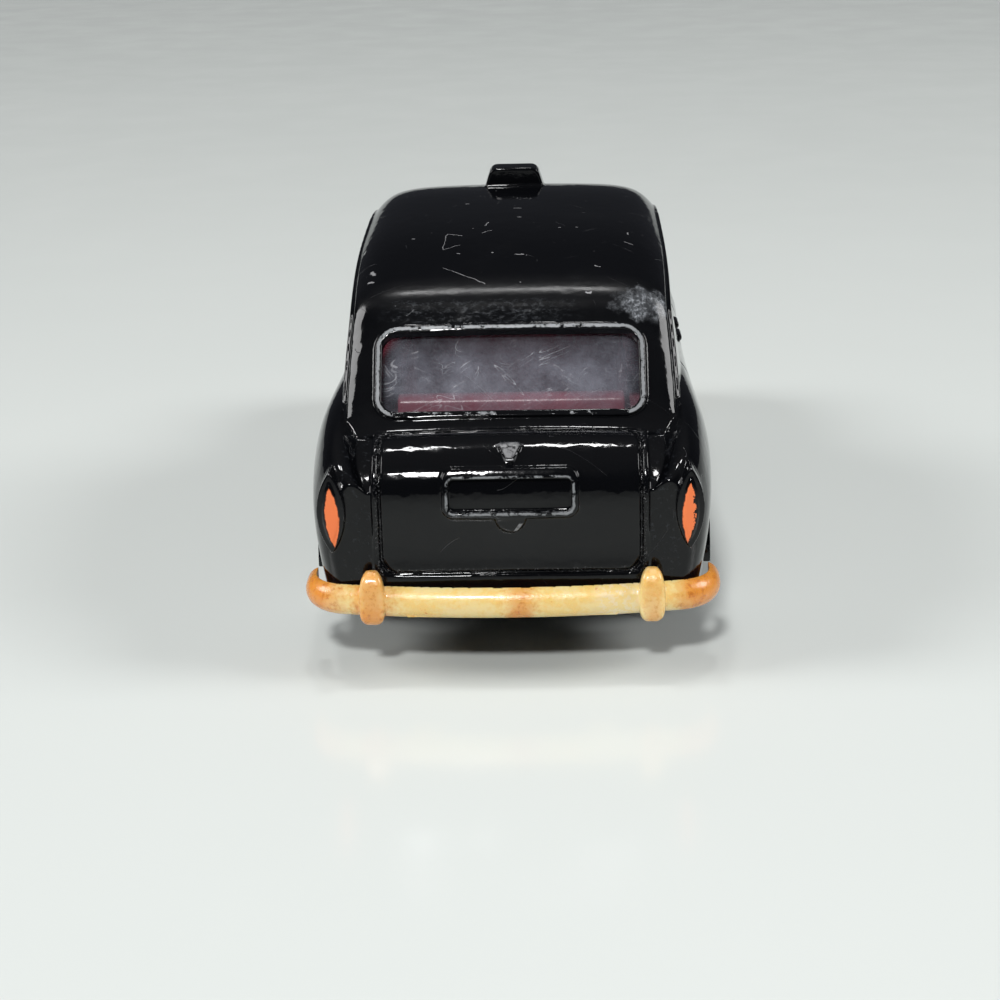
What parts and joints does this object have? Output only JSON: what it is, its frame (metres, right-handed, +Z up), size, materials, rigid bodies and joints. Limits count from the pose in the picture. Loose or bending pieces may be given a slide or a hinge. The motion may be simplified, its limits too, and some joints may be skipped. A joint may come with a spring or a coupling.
{
  "type": "toy taxi",
  "caption": "Die-cast toy taxi: hollow body with cast roof sign, clear glazing, moulded interior, bumpers, sprung axles and free-turning wheels on a screwed base plate.",
  "frame": {"origin": "on the ground, under the middle of the overall length and width", "axes": "+Y to the front of the car, +X to its right, +Z up"},
  "size_m": [0.0426, 0.109, 0.0422],
  "materials": {
    "body_paint": "gloss black paint over zinc, worn at the edges",
    "base_paint": "black paint over zinc",
    "glazing_clear": "clear moulding, hazed",
    "lens_clear": "clear moulding",
    "interior_maroon": "moulded maroon plastic",
    "steering_black": "moulded black plastic",
    "plating_bright": "plated plastic",
    "plating_yellowed": "plated plastic, plating worn off and yellowed",
    "hub_plating": "plated plastic",
    "tyre_rubber": "black rubber",
    "axle_steel": "drawn steel wire",
    "screw_steel": "zinc-plated steel"
  },
  "bodies": {
    "taxi_body": {"body_shell": "body_paint", "window_glazing": "glazing_clear", "interior_tub": "interior_maroon", "steering_wheel": "steering_black", "base_plate": "base_paint", "base_screw_front": "screw_steel", "base_screw_rear": "screw_steel", "radiator_grille": "plating_bright", "headlamp_lens_left": "lens_clear", "headlamp_lens_right": "lens_clear", "front_bumper": "plating_yellowed", "rear_bumper": "plating_yellowed"},
    "front_axle_set": {"front_axle": "axle_steel"},
    "rear_axle_set": {"rear_axle": "axle_steel"},
    "front_left_wheel": {"front_left_hub": "hub_plating", "front_left_tyre": "tyre_rubber"},
    "front_right_wheel": {"front_right_hub": "hub_plating", "front_right_tyre": "tyre_rubber"},
    "rear_left_wheel": {"rear_left_hub": "hub_plating", "rear_left_tyre": "tyre_rubber"},
    "rear_right_wheel": {"rear_right_hub": "hub_plating", "rear_right_tyre": "tyre_rubber"}
  },
  "joints": [
    {"name": "front_axle_spin", "type": "hinge", "parent": "taxi_body", "child": "front_axle_set", "pos_m": [0, 0.0362, 0.0075], "axis": [1, 0, 0], "continuous": true},
    {"name": "rear_axle_spin", "type": "hinge", "parent": "taxi_body", "child": "rear_axle_set", "pos_m": [0, -0.0307, 0.0075], "axis": [1, 0, 0], "continuous": true},
    {"name": "front_left_spin", "type": "hinge", "parent": "front_axle_set", "child": "front_left_wheel", "pos_m": [-0.0175, 0.0362, 0.0075], "axis": [1, 0, 0], "continuous": true},
    {"name": "front_right_spin", "type": "hinge", "parent": "front_axle_set", "child": "front_right_wheel", "pos_m": [0.0175, 0.0362, 0.0075], "axis": [1, 0, 0], "continuous": true},
    {"name": "rear_left_spin", "type": "hinge", "parent": "rear_axle_set", "child": "rear_left_wheel", "pos_m": [-0.0175, -0.0307, 0.0075], "axis": [1, 0, 0], "continuous": true},
    {"name": "rear_right_spin", "type": "hinge", "parent": "rear_axle_set", "child": "rear_right_wheel", "pos_m": [0.0175, -0.0307, 0.0075], "axis": [1, 0, 0], "continuous": true}
  ]
}
